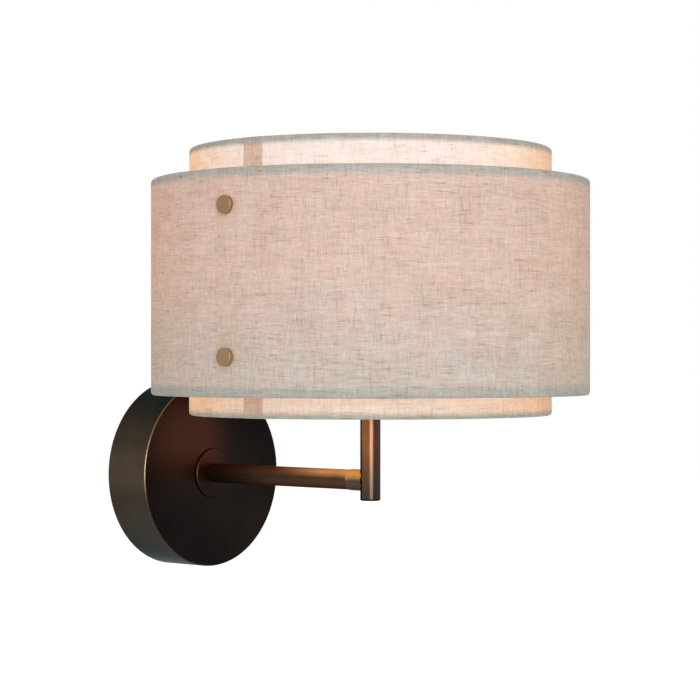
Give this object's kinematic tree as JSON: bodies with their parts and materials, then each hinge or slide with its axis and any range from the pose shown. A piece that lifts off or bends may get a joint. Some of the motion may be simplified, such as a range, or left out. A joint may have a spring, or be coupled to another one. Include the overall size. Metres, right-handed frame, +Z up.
{
  "type": "fabric shade wall light",
  "caption": "Wall light with two concentric linen drum shades on a bronze arm and round wall rose, lit by an opal screw bulb.",
  "frame": {"origin": "in the plane of the wall, midway between the two wall screws and on the arm's axis", "axes": "+Z up, +Y into the wall, +X to the right as seen by someone who faces the wall"},
  "size_m": [0.3068, 0.3415, 0.2945],
  "materials": {
    "bronze": "antique bronze lacquer over steel, satin with a fine turned grain",
    "bright_bronze": "lacquered bronze rubbed brighter, satin",
    "knob_bronze": "dull satin bronze",
    "zinc_steel": "zinc-plated steel, satin",
    "brass": "plain brass",
    "black_plastic": "moulded black phenolic, satin",
    "white_plastic": "moulded off-white plastic",
    "white_enamel": "white powder coat over steel wire",
    "live_insulation": "brown insulation",
    "neutral_insulation": "blue insulation",
    "earth_insulation": "green and yellow insulation",
    "linen": "natural slub linen laminated on a stiff translucent backing",
    "bulb_metal": "plain aluminium, satin",
    "opal_glass": "opal glass, lit from inside"
  },
  "bodies": {
    "wall_unit": {"mounting_bracket": "zinc_steel", "rose_cover": "bronze", "rose_screw_top": "zinc_steel", "rose_screw_bottom": "zinc_steel", "earth_screw": "zinc_steel", "terminal_block": "white_plastic", "terminal_screw_live_supply": "zinc_steel", "terminal_screw_live_lamp": "zinc_steel", "terminal_screw_neutral_supply": "zinc_steel", "terminal_screw_neutral_lamp": "zinc_steel", "arm_collar": "bronze", "arm_tube": "bronze", "arm_bush": "zinc_steel", "arm_nipple": "zinc_steel", "lock_washer": "zinc_steel", "earth_tag": "brass", "arm_nut": "zinc_steel", "arm_ferrule": "bright_bronze", "post_tube": "bronze", "post_foot_cap": "bronze", "post_bush": "zinc_steel", "holder_nipple": "zinc_steel", "holder_cap": "black_plastic", "holder_skirt": "black_plastic", "screw_sleeve": "brass", "contact_carrier": "black_plastic", "centre_contact": "brass", "side_contact": "brass", "live_wire": "live_insulation", "neutral_wire": "neutral_insulation", "earth_wire": "earth_insulation"},
    "shade": {"inner_drum": "linen", "inner_top_hoop": "white_enamel", "inner_bottom_hoop": "white_enamel", "outer_drum": "linen", "outer_top_hoop": "white_enamel", "outer_bottom_hoop": "white_enamel", "shade_fitter": "white_enamel", "spider_arm_1": "white_enamel", "spider_arm_2": "white_enamel", "spider_arm_3": "white_enamel", "knob_left_low": "knob_bronze", "knob_left_high": "knob_bronze", "knob_right_low": "knob_bronze", "knob_right_high": "knob_bronze", "spacer_left_low": "brass", "spacer_left_high": "brass", "spacer_right_low": "brass", "spacer_right_high": "brass", "shade_nut_left_low": "zinc_steel", "shade_nut_left_high": "zinc_steel", "shade_nut_right_low": "zinc_steel", "shade_nut_right_high": "zinc_steel"},
    "shade_ring": {"shade_ring": "black_plastic"},
    "bulb": {"bulb_contact": "brass", "bulb_insulator": "black_plastic", "bulb_screw_cap": "bulb_metal", "bulb_glass": "opal_glass"}
  },
  "joints": [
    {"name": "shade_turn", "type": "hinge", "parent": "wall_unit", "child": "shade", "pos_m": [0, -0.1915, 0.0738], "axis": [0, 0, 1], "continuous": true},
    {"name": "ring_turn", "type": "hinge", "parent": "wall_unit", "child": "shade_ring", "pos_m": [0, -0.1915, 0.079], "axis": [0, 0, 1], "range_deg": [0, 1080]},
    {"name": "bulb_turn", "type": "hinge", "parent": "wall_unit", "child": "bulb", "pos_m": [0, -0.1915, 0.09], "axis": [0, 0, 1], "range_deg": [0, 1080]}
  ]
}
